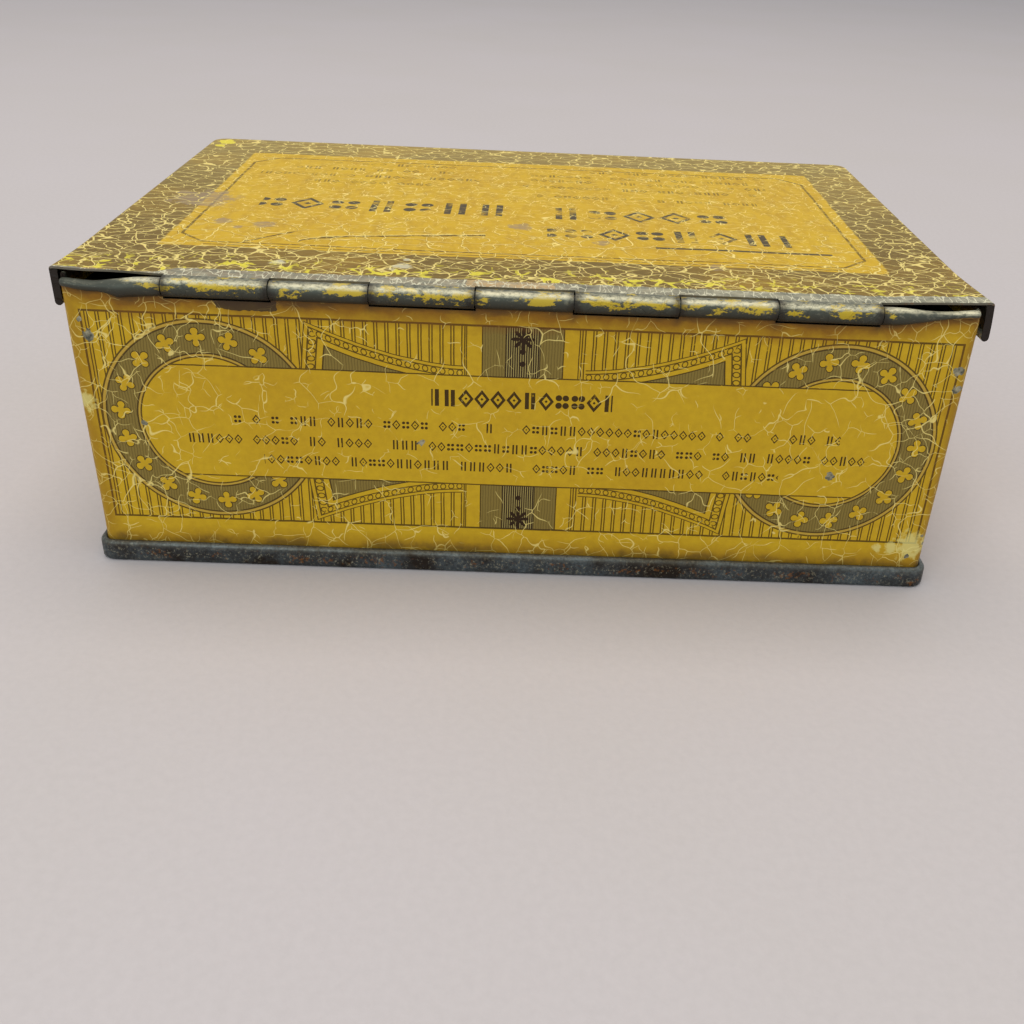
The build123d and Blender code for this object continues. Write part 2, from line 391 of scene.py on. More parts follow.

# rows of small ornament: middle, level, half length and seed
WALL_ROWS = ((1.2, 0.6, 44.6, 161.3), (1.0, -2.6, 49.2, 322.7), (0.2, -5.65, 37.5, 487.1))
LID_ROWS = [(middle, level, reach, level * 71.7) for middle, level, reach in (
    (-28.6, 27.1, 14.5), (-28.6, 22.7, 14.5), (-28.3, 17.7, 20.2), (-28.6, 13.0, 11.1),
    (27.3, 27.8, 16.5), (21.2, 23.4, 22.5), (21.2, 19.7, 22.0), (21.2, 15.0, 22.5),
    (20.5, 8.3, 19.2),
)]

# marks of wear: place along, place up or across, and radius
WALL_CHIPS = ((-59.2, 35.8, 0.9), (-60.1, 38.1, 0.5), (60.6, 35.4, 0.9), (61.2, 32.8, 0.8),
              (-53.6, 22.8, 0.5), (-14.1, 21.3, 0.7), (45.5, 18.4, 0.8), (61.4, 8.7, 0.3),
              (61.8, 7.2, 0.3), (59.7, 5.0, 0.4))
WALL_PEELS = ((59.8, 7.0, 2.3), (57.0, 6.4, 1.1), (54.9, 6.3, 0.7), (-61.3, 26.0, 1.4))
LID_PEELS = ((-60.6, 41.0, 2.0), (-60.9, 37.6, 1.2))
LID_FLECKS = ((-34.4, -35.2, 1.3), (-17.5, -34.9, 1.6), (-17.0, -31.5, 0.5))
LID_BLOTCHES = ((-53.5, -2.2, 5.0), (-1.0, -11.8, 1.9), (-47.0, -15.5, 1.5),
                (-40.5, -16.6, 1.8), (-44.0, -19.0, 0.9), (11.5, -18.8, 1.3),
                (28.0, -29.6, 1.4))


# ---- values over a surface ------------------------------------------------------------

def plug(tree, socket, value):
    """Links a field to a socket, or sets the socket to a plain value."""
    if isinstance(value, Field):
        tree.links.new(value.socket, socket)
    elif value is not None:
        socket.default_value = value


class Field:
    """A value that varies over a surface. Arithmetic with fields and numbers adds Math nodes
    to its tree, and a mask is a field from 0 to 1"""

    def __init__(self, tree, socket):
        self.tree = tree
        self.socket = socket

    def apply(self, operation, second=None, third=None, clamp=False):
        """The result of one operation of the Math node, with this field as its first value."""
        return add_node(self.tree, "ShaderNodeMath", {0: self, 1: second, 2: third},
                        operation=operation, use_clamp=clamp)

    __add__ = partialmethod(apply, "ADD")
    __sub__ = partialmethod(apply, "SUBTRACT")
    __rsub__ = partialmethod(apply, "MULTIPLY_ADD", -1)
    __mul__ = partialmethod(apply, "MULTIPLY")
    __truediv__ = partialmethod(apply, "DIVIDE")
    __abs__ = partialmethod(apply, "ABSOLUTE")
    __pow__ = partialmethod(apply, "POWER")
    either = partialmethod(apply, "MAXIMUM")
    least = partialmethod(apply, "MINIMUM")
    wrap = partialmethod(apply, "FLOORED_MODULO")
    below = partialmethod(apply, "LESS_THAN")
    above = partialmethod(apply, "GREATER_THAN")

    def __invert__(self):
        """The other way round: 1 where this is 0."""
        return self.apply("MULTIPLY_ADD", -1, 1, clamp=True)

    def at(self, place, half_width):
        """1 within half a width of a place."""
        return self.apply("COMPARE", place, half_width)

    def at_any(self, places, half_width):
        """1 within half a width of any of the places."""
        return reduce(Field.either, [self.at(place, half_width) for place in places])

    def fade(self, low, high):
        """0 at low and beyond it, and 1 at high and beyond it."""
        return self.apply("MULTIPLY_ADD", 1 / (high - low), -low / (high - low), clamp=True)


def distance(across, up):
    return (across * across + up * up).apply("SQRT")


def add_node(tree, kind, inputs, output=0, **settings):
    """A node with its settings and its inputs, by name or number, as one output's field."""
    node = tree.nodes.new(kind)
    for name, value in settings.items():
        setattr(node, name, value)
    for name, value in inputs.items():
        plug(tree, node.inputs[name], value)
    return Field(tree, node.outputs[output])


def vector_math(operation, first, second):
    return add_node(first.tree, "ShaderNodeVectorMath", {0: first, 1: second},
                    operation=operation)


def split(place):
    """The three parts of a place."""
    node = place.tree.nodes.new("ShaderNodeSeparateXYZ")
    plug(place.tree, node.inputs[0], place)
    return [Field(place.tree, socket) for socket in node.outputs]


def shift(place, *move):
    return vector_math("ADD", place, move)


def scale(place, factor):
    return add_node(place.tree, "ShaderNodeVectorMath", {0: place, 3: factor}, operation="SCALE")


def stretch(place, x=1, y=1, z=1):
    return vector_math("MULTIPLY", place, (x, y, z))


def noise(place, grain, detail=2.0, roughness=0.5):
    """Cloudy noise whose blotches are about a grain across, in the units of the place."""
    inputs = {"Vector": place, "Scale": 1 / grain, "Detail": detail, "Roughness": roughness}
    return add_node(place.tree, "ShaderNodeTexNoise", inputs)


def blend(mask, under, over):
    """One colour laid over another where the mask is 1. A colour is a field or four numbers."""
    inputs = {0: mask, 6: under, 7: over}         # 6, 7 and output 2 carry colours
    return add_node(mask.tree, "ShaderNodeMix", inputs, 2, data_type="RGBA")


# ---- node groups ----------------------------------------------------------------------

class Group:
    """A node group with named inputs and outputs, built once and placed in many materials"""

    def __init__(self, name, inputs, outputs):
        self.tree = bpy.data.node_groups.new(name, "ShaderNodeTree")
        for label, default in inputs.items():
            kind = "NodeSocketVector" if default is None else "NodeSocketFloat"
            socket = self.tree.interface.new_socket(label, in_out="INPUT", socket_type=kind)
            if default is not None:
                socket.default_value = default
        for label in outputs:
            self.tree.interface.new_socket(label, in_out="OUTPUT", socket_type="NodeSocketFloat")
        source = self.tree.nodes.new("NodeGroupInput")
        self.inputs = [Field(self.tree, source.outputs[label]) for label in inputs]
        self.result = self.tree.nodes.new("NodeGroupOutput")

    def put_out(self, **fields):
        for label, field in fields.items():
            plug(self.tree, self.result.inputs[socket_label(label)], field)


def socket_label(name):
    """The label of a socket, such as Half length for half_length."""
    return name.replace("_", " ").capitalize()


def place_group(name, tree, **values):
    """The named group in a tree, with its inputs set: its outputs as fields, in order."""
    if name not in bpy.data.node_groups:
        GROUP_BUILDERS[name]()
    node = tree.nodes.new("ShaderNodeGroup")
    node.node_tree = bpy.data.node_groups[name]
    for label, value in values.items():
        plug(tree, node.inputs[socket_label(label)], value)
    fields = [Field(tree, socket) for socket in node.outputs]
    return fields[0] if len(fields) == 1 else fields


def build_crackle():
    """Fine curved cracks round cells, broken into strokes where the cover is low."""
    group = Group("Crackle", {"Place": None, "Cell": 2.0, "Width": 0.12, "Cover": 0.5}, ["Crack"])
    place, cell, width, cover = group.inputs
    small = scale(place, cell ** -1)
    drift = add_node(group.tree, "ShaderNodeTexNoise",
                     {"Vector": small, "Scale": 1.1, "Detail": 1.0, "Roughness": 0.5}, "Color")
    drift = vector_math("SUBTRACT", drift, (0.5, 0.5, 0.5))
    bent = vector_math("ADD", small, scale(drift, 0.8))
    edge = add_node(group.tree, "ShaderNodeTexVoronoi", {"Vector": bent, "Scale": 1.0},
                    "Distance", feature="DISTANCE_TO_EDGE")
    gate = noise(shift(small, 7, 3, 5), 0.75, 0.5, 0.5) + cover * 0.5 - 0.75
    thick = width * (gate * 3.0 + 0.6).either(0.35).least(1.2)
    line = (thick - edge * cell).apply("MULTIPLY_ADD", 22.0, 0.4, clamp=True)
    group.put_out(crack=line * gate.apply("MULTIPLY", 20.0, clamp=True))


def build_flakes():
    """Ragged patches, more and larger with the amount."""
    group = Group("Flakes", {"Place": None, "Amount": 0.3, "Softness": 0.03}, ["Flake"])
    place, amount, softness = group.inputs
    ragged = noise(place, 1.0, 5.0, 0.62)
    level = ragged + amount * 0.5 - 0.75
    group.put_out(flake=(level / softness).apply("ADD", 0.5, clamp=True))


def build_ornament_row():
    """A row of lozenges, pairs of bars and fours of dots in random order, a unit high."""
    group = Group("Ornament row", {"Along": 0.0, "Up": 0.0, "Height": 1.3, "Half length": 40.0,
                                   "Gaps": 0.15, "Weight": 0.07, "Seed": 0.0}, ["Ink"])
    along, up, height, half, gaps, weight, seed = group.inputs
    step = along / (height * SIGN_WIDTH)
    cell = step.apply("FLOOR")
    across = abs(step - cell - 0.5) * SIGN_WIDTH
    rise = abs(up / height)
    chance = add_node(group.tree, "ShaderNodeTexWhiteNoise", {"W": cell + seed}, 0,
                      noise_dimensions="1D")
    lozenge = (across * 1.3 + rise).at(0.38, weight * 1.1).either((across + rise).below(0.08))
    bars = across.at(0.15, weight) * rise.below(0.44)
    dots = distance(across - 0.17, rise - 0.2).below(weight + 0.06)
    ink = lozenge * chance.below(0.45)
    ink = ink.either(bars * chance.at(0.56, 0.11))
    ink = ink.either(dots * chance.above(0.67))
    ink = ink * chance.below(~gaps)
    group.put_out(ink=ink * abs(along).below(half) * rise.below(0.5))


def wing_print(u, v):
    """The curved triangles beside the middle: their lines, their tint and their whole shape."""
    rise = ((u - WING_START) / WING_RUN).either(0) ** 1.75
    top_edge = (rise * 5.1 + 10.0 - v) * 0.93
    side_edge = (32.05 - v * 0.12 - u) * 0.745
    depth = top_edge.least(side_edge)
    by_side = (side_edge - top_edge).below(0)
    run = (u + (v - u) * by_side).wrap(1.2) - 0.6
    bead = distance(run, depth - 0.97)
    ink = bead.at(0.38, 0.075).either(depth.at_any((0.0, 0.5, 1.45, 2.2), 0.08))
    return ink, depth.above(2.2), depth.above(-0.05) * u.above(WING_START)


def middle_print(across, mid, v):
    """The upright bands in the middle: their lines, and the star and drops on the dark one."""
    star_up = v - 14.2
    petal = abs((star_up.apply("ARCTAN2", across) * 4).apply("COSINE"))
    star = (distance(across, star_up) - petal * 1.3).below(0.35)
    drop = distance(across, abs(v - 11.5) - 0.9).below(0.4)
    return mid.at_any(BANDS, 0.08), star.either(drop)


def quatrefoils(turn, out):
    """Four-lobed flowers in a circle: their shape, and its outline."""
    sector = math.tau / FLOWERS
    around = (turn.wrap(sector) - sector / 2) * FLOWER_CIRCLE
    across = out - FLOWER_CIRCLE
    lobe = distance(abs(around) - 0.86, across).least(distance(around, abs(across) - 0.86))
    heart = distance(around, across)
    return lobe.below(0.5).either(heart.below(0.52)), lobe.at(0.55, 0.06) * heart.above(0.66)


def build_wall_ornament():
    """The printed frame of a wall: rings of quatrefoils joined by a plain panel, on hatching."""
    group = Group("Wall ornament", {"Along": 0.0, "Up": 0.0, "Half length": 60.3, "Wings": 1.0},
                  ["Ink", "Olive", "Strip", "Pale", "Tan"])
    along, up, half, wings = group.inputs
    u = abs(along)
    v = abs(up)
    inside = (u - half).below(0) * v.below(FRAME_HALF_HEIGHT)
    centre = half - RING_INSET
    out = distance(u - centre, up)
    clear = inside * ~(v.below(PANEL_HALF_HEIGHT) * (u - centre).below(0))

    # wings on hatching in pairs of upright lines
    wing_ink, wing_tint, wing = wing_print(u, v)
    wing = wing * wings
    ink = along.wrap(1.5).at_any((0.3, 0.7), 0.092) * ~wing
    ink = ink.either(wing_ink * wing)
    olive = wing_tint * wing

    # upright bands in the middle
    across = along + 0.3
    mid = abs(across)
    wide, tinted, dark = BANDS
    band_ink, figures = middle_print(across, mid, v)
    ink = (ink * ~mid.below(wide)).either(band_ink)
    olive = (olive * ~mid.below(wide)).either(mid.below(tinted))

    # rings
    ring = out.below(RING_LINES[0])
    turn = up.apply("ARCTAN2", u - centre) + along.above(0) * 0.113 + 0.07
    flower, outline = quatrefoils(turn, out)
    ink = (ink * ~ring).either(out.at_any(RING_LINES, 0.115)).either(outline * ring)
    olive = (olive * ~ring).either(out.at(12.52, 2.17)) * ~flower
    tan = out.at(15.0, 0.3).either(out.at(10.1, 0.25)) * clear

    # lines of the panel and the frame
    ink = ink * clear
    ink = ink.either(v.at(PANEL_HALF_HEIGHT, 0.1) * (u - centre).below(4.85))
    ink = ink.either(v.at(FRAME_HALF_HEIGHT, 0.15) * (u - half).below(0.15))
    ink = ink.either((u - half).at(0, 0.15) * v.below(FRAME_HALF_HEIGHT))
    strip = mid.below(dark) * ~ring * clear
    pale = across.wrap(0.32).below(0.13) * ~figures * strip
    group.put_out(ink=ink, olive=olive * clear, strip=strip, pale=pale, tan=tan)


def build_barrel_wear():
    """What is left of the paint on the rolls of the hinge, where they are rubbed bright with a
    painted highlight added towards the top, and a streak of painted highlight near the top.
    """
    group = Group("Barrel wear", {"Place": None, "Height": 0.0}, ["Paint", "Bright", "Streak"])
    place, height = group.inputs
    patches = noise(stretch(place, 0.5), 1.6, 5.0, 0.72)
    speckle = noise(stretch(place, 0.6), 0.5, 4.0, 0.75)
    # painted highlight: a band near the top of the roll, which also brightens the rubbed metal
    streak = ~(abs(height - 0.74) * 3.4)
    band = ~(abs(height - 0.42) * 1.2)
    group.put_out(paint=(patches + band * 0.11).fade(0.60, 0.64) * height.above(-0.5),
                  bright=(speckle + height * 0.12 + streak * 0.25).fade(0.55, 0.85),
                  streak=streak * speckle.fade(0.3, 0.55))


GROUP_BUILDERS = {
    "Crackle": build_crackle,
    "Flakes": build_flakes,
    "Ornament row": build_ornament_row,
    "Wall ornament": build_wall_ornament,
    "Barrel wear": build_barrel_wear,
}


# ---- materials ------------------------------------------------------------------------

class Finish:
    """A material whose colour is laid on coat by coat, over places in millimetres"""

    def __init__(self, name, ground):
        self.material = bpy.data.materials.new(name)
        self.material.use_nodes = True
        self.tree = self.material.node_tree
        self.place = scale(add_node(self.tree, "ShaderNodeTexCoord", {}, "Object"), 1 / MM)
        self.colour = ground

    def coat(self, mask, colour):
        """Lays on a colour where the mask is 1."""
        self.colour = blend(mask, self.colour, colour)

    def finish(self, roughness, metallic, height, bump=0.02, specular=0.2):
        """Feeds the material's Principled shader, with a bump in millimetres."""
        shader = self.tree.nodes["Principled BSDF"]
        normal = add_node(self.tree, "ShaderNodeBump", {"Height": height, "Distance": bump * MM,
                                                        "Strength": 1.0}, "Normal")
        for label, value in (("Base Color", self.colour), ("Roughness", roughness),
                             ("Metallic", metallic), ("Specular IOR Level", specular),
                             ("Normal", normal)):
            plug(self.tree, shader.inputs[label], value)
        return self.material


def crackle(place, cell, width, cover):
    return place_group("Crackle", place.tree, place=place, cell=cell, width=width, cover=cover)


def flakes(place, amount, softness):
    return place_group("Flakes", place.tree, place=place, amount=amount, softness=softness)


def spots(across, up, places):
    """Distance to the nearest of some round marks, in radii: less than 1 inside it."""
    return reduce(Field.least, [distance(across - x, up - z) / radius for x, z, radius in places])


def ornament_rows(along, up, rows, trim=0, **settings):
    """Rows of ornament as one field, each by its middle, level, half length and seed."""
    return reduce(Field.either, [
        place_group("Ornament row", up.tree, along=along - middle, up=up - level,
                    half_length=trim + reach, seed=seed, **settings)
        for middle, level, reach, seed in rows
    ])


def hinge_distance(place):
    """How far a place is from the axis of the hinge."""
    y, z = split(place)[1:]
    return distance(y - hinge.y / MM, z - hinge.z / MM)


def joint_distance(plan, place):
    """How far a place is, along the hinge, from the nearest joint between two rolls."""
    x = split(place)[0]
    return reduce(Field.least, [abs(abs(x - (start + end) / 2 / MM) - (end - start) / 2 / MM)
                                for start, end in plan.lid_spans])


def barrel(plan, place, radius):
    """Colour of a hinge roll, with painted shade below and a painted highlight on top where it is
    also rubbed bright, and where its paint is left.
    """
    ink = inks()
    x, z = split(place)[::2]
    height = (z - hinge.z / MM) / (radius / MM)
    paint, bright, streak = place_group("Barrel wear", place.tree, place=place, height=height)
    left_patch = (x + 53.7).at(0, 2.6) * height.above(0.5)
    paint = paint * abs(x).fade(52.0, 50.5).either(left_patch)
    metal = blend(bright * 0.65, ink.slate, ink.bare)
    # painted shade: darker towards the bottom of the roll
    metal = blend(height.fade(0.5, -0.9) * 0.7, metal, ink.grime_and_shade)
    metal = blend(paint, metal, ink.roll_paint)
    # painted highlight along the top of the roll
    metal = blend(streak * 0.75, metal, ink.tick)
    dirt = joint_distance(plan, place) + noise(place, 1.2, 3.0, 0.6) * 1.6
    return blend(dirt.fade(2.1, 1.0) * 0.75, metal, ink.grime_and_shade), paint


def along_walls(plan, place, wobble):
    """The place along a wall from its middle, half the length of its frame, and 1 on the ends."""
    x, y, z = split(place)
    end = (abs(x) - plan.wall_x / MM) - (abs(y - (plan.front + plan.back) / 2 / MM)
                                        - (plan.front - plan.back) / 2 / MM)
    end = end.above(0)
    along = x + (y - x) * end - 0.3 + wobble
    return along, end * (END_FRAME_HALF - LONG_FRAME_HALF) + LONG_FRAME_HALF, end


def print_wall(tin, along, up, half, end, grain):
    """Lays on the frame of a wall and the rows on its panel, with their ground."""
    ink = inks()
    lines, olive, strip, pale, tan = place_group("Wall ornament", tin.tree, along=along, up=up,
                                                 half_length=half, wings=~end)
    rows = place_group("Ornament row", tin.tree, along=along + 0.2, up=up - 5.1, height=2.9,
                       half_length=12.8, gaps=0.0, weight=0.1)
    rows = rows.either(ornament_rows(along, up, WALL_ROWS, end * -19.6, height=1.7, gaps=0.15))
    tin.coat(noise(tin.place, 22.0, 4.0, 0.6).fade(0.4, 0.75) * 0.5, ink.amber)
    tin.coat(grain.fade(0.35, 0.75) * 0.16, ink.rust)
    tin.coat(tan * 0.25, ink.mauve)
    tin.coat(olive * 0.92, ink.olive)
    hatch = (along + (grain - 0.5) * 0.3).wrap(0.4).below(0.13) * olive
    tin.coat(hatch * 0.32, ink.ink)
    tin.coat(strip, ink.ink)
    tin.coat(pale * 0.4, ink.crack)
    tin.coat((lines * 0.88).either(rows) * grain.fade(0.22, 0.36) * 0.95, ink.ink)


def hinge_level(x, z):
    """Height, less how far the browning, the dirt and the painted shade under the hinge climb where
    the end rolls run out.
    """
    left, right = x * -1, x
    lift = right.fade(50.3, 60.0) * 1.75 - left.fade(49.0, 54.4) * 0.45
    lift = lift + left.fade(54.6, 56.2) * 0.7 + left.fade(58.5, 62.0) * 0.9
    return z - lift


def wall_soot_and_shade(plan, place, level, foot, rough):
    """Soot under the rolls, round their joints and above the foot seam, with painted shade under the
    rolls as well.
    """
    x, y, z = split(place)
    high = z + rough * 1.6
    streaks = noise(stretch(place, 0.35), 2.0, 4.0, 0.65)
    patch = (abs(x + 37.6) - rough * 3.0).below(2.9) * high.above(40.9)
    smudge = (joint_distance(plan, place) + rough * 2.0).fade(2.6, 1.0) * high.fade(41.0, 42.2)
    # painted shade: the dark streaks that climb to the rolls and the band right under them are in
    # part dirt and in part painted shade; the patch is dirt
    soot_and_shade = ((streaks + level * 0.35).fade(14.75, 15.1) * 0.6).either(patch * 0.85)
    soot_and_shade = soot_and_shade.either(smudge * 0.7).either(level.above(41.9) * 0.9) * y.below(REAR)
    return soot_and_shade.either(~foot.fade(2.3, 3.5) * rough.fade(0.35, 0.6) * 0.55)


def wall_print():
    """Printed, crazed and rubbed outside of the walls, with the rolls of the hinge."""
    ink = inks()
    plan = Plan()
    tin = Finish("wall_print", ink.yellow)
    place = tin.place
    x, y, z = split(place)
    grain = noise(place, 1.1, 3.0, 0.6)
    rough = noise(place, 5.0, 4.0, 0.65)
    wobble = (noise(place, 3.0, 2.0) - 0.5) * 0.12
    along, half, end = along_walls(plan, place, wobble)
    print_wall(tin, along, z - FRAME_MIDDLE + wobble, half, end, grain)

    # browned band under the hinge, browned margins, and dirt with painted shade under the rolls
    level = hinge_level(x, z)
    foot = z - rough * 2.4
    browned = (level + rough * 4.0).fade(40.2, 43.0) * y.below(REAR)
    browned = browned.either((abs(along) - half + rough * 3.4).fade(0.3, 2.8) * 0.6)
    browned = browned.either(~foot.fade(2.6, 5.0) * 0.62)
    soot_and_shade = wall_soot_and_shade(plan, place, level, foot, rough)
    tin.coat(browned * 0.82, ink.rust)
    # dirt, and painted shade under the rolls
    tin.coat(soot_and_shade, ink.grime_and_shade)

    # cracks: many at the edges, few on the panel
    busy = abs(along).fade(25, 62).either(~foot.fade(3, 8))
    crack = crackle(place, 2.8, 0.04, busy * 0.3 + 0.40)
    crack = crack.either(crackle(shift(place, 40, 0, 15), 5.5, 0.045, busy * 0.15 + 0.48))
    crack = crack * ~soot_and_shade * ~(browned * 0.4)
    tin.coat(crack * 0.85, ink.crack)

    # peeled ground, and chips and pits down to the metal
    back = y.below(-41.8)
    peeled = (spots(x, z, WALL_PEELS) + (grain - 0.5) * 2.4).fade(1.1, 0.6) * back
    tin.coat(peeled * 0.5, ink.lemon)
    tin.coat(peeled * 0.3, ink.tick)
    chipped = (spots(x, z, WALL_CHIPS) + (grain - 0.5) * 2.6).below(0.8) * back
    tin.coat(chipped, blend(grain.fade(0.35, 0.6), ink.slate, ink.bare))

    # rolls of the hinge, with painted shade below and a painted highlight on top
    roll = hinge_distance(place).below(1.9) * level.above(41.75)
    colours, paint = barrel(plan, place, plan.body_r)
    tin.coat(roll, colours)
    metallic = (roll * ~paint).either(chipped) * 0.5
    return tin.finish(grain * 0.2 + 0.4, metallic, crack * 0.6 + grain * 0.5)


def lay_lid_ground(lid, inset, grain):
    """Lays on the yellow panel in its brown border, which turns paler towards the far side, in part
    as a painted sheen.
    """
    ink = inks()
    clouds = noise(lid.place, 20.0, 4.0, 0.6)
    streaks = noise(stretch(lid.place, 1, 0.35), 1.6, 4.0, 0.65)
    lid.coat(clouds.fade(0.35, 0.7) * 0.45, ink.amber)
    lid.coat(streaks.fade(0.45, 0.75) * 0.3, ink.rust)
    brown = blend(grain.fade(0.3, 0.7) * 0.3, ink.border, ink.grime_and_shade)
    brown = blend(clouds.fade(0.45, 0.75) * 0.4, brown, ink.amber)
    # paler towards the far side, in part a painted sheen
    brown = blend(split(lid.place)[1].fade(-20, 44) * 0.16, brown, ink.crack)
    lid.colour = blend(inset.fade(-0.15, 0.15), brown, lid.colour)


def print_lid(lid, ragged, grain):
    """Lays on a frame line with cut corners, two creases and the rows of ornament."""
    ink = inks()
    x, y = split(lid.place)[:2]
    side = abs(x + 0.2) - 51.1
    far = abs(y - 1.2) - 28.0
    outline = side.either(far).either((side + far + 4.0) * 0.707) + ragged * 0.3
    lines = outline.at(0, 0.23).either(far.at(1.3, 0.15) * y.below(0) * side.below(-4.5))
    lid.coat(lines * grain.fade(0.25, 0.5) * 0.7, ink.ink)

    arc = ((x + 33.7) / 27).either(0) ** 0.5 * 8.0 - 25.4
    bend = y - arc + ragged * 1.6
    reach = (x + 20.1).at(0, 13.6)
    short = (y - x - 15.2 + ragged * 1.6).at(0, 0.35) * (x + 38.2).at(0, 3.4)
    creases = (bend.at(0, 0.36) * reach).either(short)
    lid.coat(creases * grain.fade(0.25, 0.5) * 0.8, ink.ink)
    lid.coat(bend.at(0.6, 0.24) * reach * grain.fade(0.3, 0.5) * 0.7, ink.crack)

    rows = place_group("Ornament row", lid.tree, along=x + 3.0, up=y + 2.6, height=7.8,
                       half_length=41.0, gaps=0.04, weight=0.07, seed=31.4)
    lower = place_group("Ornament row", lid.tree, along=x - 22.0, up=y + 14.2, height=7.2,
                        half_length=19.0, gaps=0.0, weight=0.075, seed=12.9)
    rows = rows.either(lower).either((y + 20.6).at(0, 0.4) * (x - 33.0).at(0, 13.5))
    small = ornament_rows(x, y, LID_ROWS, height=2.1, gaps=0.2, weight=0.09)
    worn = noise(lid.place, 6.0, 4.0, 0.6)
    lid.coat(rows * worn.fade(0.34, 0.46) * 0.9, ink.print_black)
    lid.coat(small * worn.fade(0.33, 0.55) * 0.65, ink.ink)


def craze_lid(lid, inset):
    """Lays on cracks, wide on the border, where they have a painted shadow along one edge, and finer
    on the panel.
    """
    y = split(lid.place)[1]
    rim = ~inset.fade(-0.5, 2.0)
    near = (y * -1).fade(8, 22)
    wide = (4.6, rim * 0.01 + 0.055, near * 1.0 + 0.2)
    squeezed = stretch(lid.place, 0.8)
    crack = crackle(squeezed, *wide)
    shadow = crackle(shift(squeezed, 0.03, 0.2, 0), *wide)
    net = crackle(stretch(lid.place, 0.85), 2.7, rim * 0.02 + 0.05,
                  (rim * 0.6 + 0.65) - near * 0.25)
    fine = crackle(shift(lid.place, 9, 31, 0), 1.8, 0.045, rim * -0.1 + 0.5)
    # painted shadow beside the wide cracks
    lid.coat(shadow * 0.6 * ~crack, inks().rust)
    crack = crack.either(net).either(fine * 0.8)
    lid.coat(crack * (rim * -0.1 + 0.95), inks().crack)
    return crack, shadow


def spot_lid(lid, ragged, grain, crack):
    """Lays on lemon patches near the hinge, pale flecks and grey-brown blotches."""
    ink = inks()
    x, y = split(lid.place)[:2]
    lemon = noise(shift(lid.place, 5, 5, 0), 3.4, 3.0, 0.6).fade(0.47, 0.6)
    lemon = lemon * (y * -1).fade(31.5, 36.5)
    star = crackle(lid.place, 2.3, lemon * 0.28, 0.95)
    corner = (spots(x, y, LID_PEELS) + ragged * 2.0).below(0.9)
    lid.coat((star * lemon).either(corner) * 0.8, ink.lemon)
    lid.coat((spots(x, y, LID_FLECKS) + ragged * 4.0).fade(1.0, 0.5) * 0.6, ink.tick)
    blotched = (spots(x, y, LID_BLOTCHES) + ragged * 2.6).fade(1.1, 0.8)
    lid.coat(blotched * ~crack * grain.fade(0.2, 0.5) * 0.75, ink.mauve)


def lid_strip(place, ragged, grain):
    """The bare strip along the lid's rear edge: where it is, its colour and its short ticks."""
    ink = inks()
    x, y = split(place)[:2]
    strip = (y + ragged * 1.6 + (x * -1).fade(47.0, 50.0) * 2.2 + 39.4).fade(0.1, -0.1)
    tick = crackle(stretch(place, 1.25, 0.45), 1.25, 0.05, 0.75)
    dull = noise(stretch(place, 0.5), 1.6, 5.0, 0.7).fade(0.38, 0.68)
    bare = blend(dull * 0.8, ink.bare, ink.slate)
    bare = blend(grain.fade(0.35, 0.6) * x.fade(40, -20) * 0.5, bare, ink.mauve)
    copper = (x + ragged * 3.0 + 2.0).at(0, 6.0) * grain.fade(0.3, 0.6)
    bare = blend(copper * 0.8, bare, ink.copper)
    return strip, blend(tick * 0.8, bare, ink.tick), tick


def lid_print():
    """Printed, densely crazed top of the lid, with its bare rear strip and its rolls."""
    plan = Plan()
    lid = Finish("lid_print", inks().yellow)
    place = lid.place
    x, y = split(place)[:2]
    grain = noise(place, 1.1, 3.0, 0.6)
    ragged = noise(place, 2.6, 4.0, 0.65) - 0.5
    inset = (abs(x) * -1 + 53.1).least(abs(y - 1.8) * -1 + 30.8) + ragged * 0.8
    lay_lid_ground(lid, inset, grain)
    print_lid(lid, ragged, grain)
    crack, shadow = craze_lid(lid, inset)
    spot_lid(lid, ragged, grain, crack)
    strip, bare, tick = lid_strip(place, ragged, grain)
    lid.coat(strip, bare)

    # rolls of the hinge, with painted shade below and a painted highlight on top, and painted shade
    # on the folded-in rear ends of the skirts
    roll = hinge_distance(place).below(1.55) * y.below(-42.5)
    colours, paint = barrel(plan, place, plan.lid_r)
    lid.coat(roll, colours)
    shaded_skirt_end = (y - plan.lid_rear / MM).below(0.06) * abs(x).above(61.5)
    lid.coat(shaded_skirt_end, inks().grime_and_shade)
    metallic = (strip * ~tick).either(roll * ~paint) * ~shaded_skirt_end * 0.3
    height = crack * 0.7 - shadow * 0.3 + grain * 0.5
    return lid.finish(grain * 0.2 + 0.42, metallic, height, bump=0.07, specular=0.13)


def bare_inside():
    """Bare tinplate of the inside and the cut edges, dulled and spotted with rust and dirt, with
    painted shade in the rear corners under the lid.
    """
    name = "bare_inside"
    if name in bpy.data.materials:
        return bpy.data.materials[name]
    ink = inks()
    tin = Finish(name, ink.inside)
    x, y, z = split(tin.place)
    grain = noise(stretch(tin.place, 0.2), 0.8, 3.0, 0.6)
    spot = flakes(scale(tin.place, 0.45), 0.24, 0.05)
    edges = ~noise(tin.place, 3.0, 3.0).fade(0.3, 0.5) * 0.4
    # painted shade in the rear corners of the walls, under the lid's rear edge
    corners = abs(x).above(60.5) * y.below(-41.6) * z.above(39.0) * z.below(44.08)
    tin.coat(noise(tin.place, 12.0, 4.0, 0.6).fade(0.35, 0.7) * 0.6, ink.slate)
    tin.coat(spot * 0.6, ink.rust)
    tin.coat(edges.either(corners), ink.grime_and_shade)
    return tin.finish(grain * 0.25 + 0.3, ~spot * 0.75, grain)


